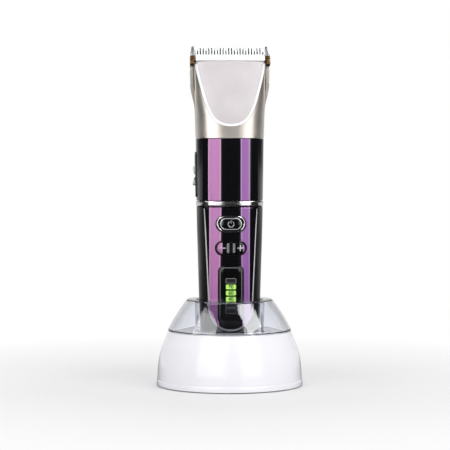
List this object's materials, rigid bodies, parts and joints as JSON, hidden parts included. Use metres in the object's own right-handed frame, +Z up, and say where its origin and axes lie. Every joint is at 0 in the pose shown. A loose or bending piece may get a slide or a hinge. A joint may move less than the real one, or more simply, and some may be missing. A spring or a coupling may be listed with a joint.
{
  "type": "cordless pet clipper with charging stand",
  "caption": "Cordless pet clipper with a toothed comb blade, purple and black body and level display, standing in a white charging stand with a clear cover",
  "frame": {"origin": "centre of the stand on the surface it stands on", "axes": "+Z up along the handset, -Y to the front, where the buttons and display face, +X to the right seen from the front"},
  "size_m": [0.0954, 0.0954, 0.2205],
  "materials": {
    "champagne": "satin champagne silver",
    "face_plate": "satin pale silver with a faint pink cast",
    "steel": "satin",
    "comb_steel": "bright ground steel",
    "cutter_ceramic": "satin ceramic",
    "guide_brass": "satin",
    "purple_gloss": "high gloss metallic purple and black",
    "black_gloss": "high gloss",
    "black_matte": "fine matt texture",
    "chrome": "polished",
    "display_glass": "smoked, polished",
    "level_guide": "translucent green light guide",
    "board_green": "solder mask",
    "cell_wrap": "shrink film",
    "contact_gold": "gold plated",
    "clear": "clear polished plastic",
    "white_gloss": "high gloss",
    "rubber": "matt"
  },
  "bodies": {
    "stand": {"stand_base": "white_gloss", "stand_cover": "clear", "stand_floor": "black_matte", "charge_seat": "black_matte", "charge_board": "board_green", "power_inlet": "black_matte", "stand_screw_1": "steel", "stand_screw_2": "steel", "foot_1": "rubber", "foot_2": "rubber", "foot_3": "rubber", "foot_4": "rubber"},
    "charge_pin_left": {"charge_pin_1": "contact_gold"},
    "charge_pin_right": {"charge_pin_2": "contact_gold"},
    "taper_slide": {"taper_slider": "black_gloss"},
    "comb": {"comb_blade": "comb_steel", "comb_screw_1": "steel", "comb_screw_2": "steel"},
    "cutter": {"moving_cutter": "cutter_ceramic", "cutter_yoke": "black_matte"},
    "lever": {"drive_lever": "black_matte"},
    "eccentric": {"eccentric_shaft": "steel"},
    "power_key": {"power_button": "purple_gloss"},
    "minus_key": {"minus_button": "purple_gloss"},
    "plus_key": {"plus_button": "purple_gloss"},
    "handset": {"lower_shell": "black_matte", "front_panel": "purple_gloss", "charge_contact_1": "contact_gold", "charge_contact_2": "contact_gold", "trim_ring": "chrome", "upper_front_shell": "purple_gloss", "upper_rear_shell": "black_gloss", "body_screw_1": "steel", "body_screw_2": "steel", "slider_bezel": "black_gloss", "power_bezel": "chrome", "adjust_bezel": "black_gloss", "display_frame": "black_gloss", "display_window": "display_glass", "level_guide": "level_guide", "control_board": "board_green", "power_switch": "black_matte", "minus_switch": "black_matte", "plus_switch": "black_matte", "battery_cell": "cell_wrap", "battery_cradle": "black_matte", "motor": "steel", "motor_mount": "black_matte", "lever_pivot_pin": "steel", "drive_bracket": "steel", "head_front_shell": "champagne", "face_plate": "face_plate", "head_rear_cover": "champagne", "blade_carrier": "steel", "blade_guide_1": "guide_brass", "blade_guide_2": "guide_brass"}
  },
  "joints": [
    {"name": "handset_lift", "type": "slide", "parent": "stand", "child": "handset", "axis": [0, 0, 1], "range_m": [0, 0.045]},
    {"name": "taper_adjust", "type": "slide", "parent": "handset", "child": "taper_slide", "axis": [0, 0, 1], "range_m": [0, 0.0065]},
    {"name": "comb_gap", "type": "slide", "parent": "handset", "child": "comb", "axis": [0, 0.309, 0.9511], "range_m": [0, 0.0008]},
    {"name": "lever_rock", "type": "hinge", "parent": "handset", "child": "lever", "pos_m": [0, 0.002, 0.195], "axis": [0, 1, 0], "range_deg": [-3.8, 3.8]},
    {"name": "cutter_stroke", "type": "slide", "parent": "handset", "child": "cutter", "axis": [1, 0, 0], "range_m": [-0.00106, 0.00106]},
    {"name": "motor_spin", "type": "hinge", "parent": "handset", "child": "eccentric", "pos_m": [0, 0.002, 0.175], "axis": [0, 0, 1], "continuous": true},
    {"name": "power_press", "type": "slide", "parent": "handset", "child": "power_key", "axis": [0, 1, 0], "range_m": [0, 0.0006], "stiffness_N_per_m": 600},
    {"name": "minus_press", "type": "slide", "parent": "handset", "child": "minus_key", "axis": [0, 1, 0], "range_m": [0, 0.0006], "stiffness_N_per_m": 600},
    {"name": "plus_press", "type": "slide", "parent": "handset", "child": "plus_key", "axis": [0, 1, 0], "range_m": [0, 0.0006], "stiffness_N_per_m": 600},
    {"name": "pin_press_left", "type": "slide", "parent": "stand", "child": "charge_pin_left", "axis": [0, 0, -1], "range_m": [0, 0.001], "stiffness_N_per_m": 400, "springref_m": -0.0004},
    {"name": "pin_press_right", "type": "slide", "parent": "stand", "child": "charge_pin_right", "axis": [0, 0, -1], "range_m": [0, 0.001], "stiffness_N_per_m": 400, "springref_m": -0.0004}
  ],
  "couplings": [
    {"joint": "comb_gap", "follows": "taper_adjust", "ratio": 0.12307},
    {"joint": "lever_rock", "follows": "cutter_stroke", "rad_per_m": 62.5}
  ]
}
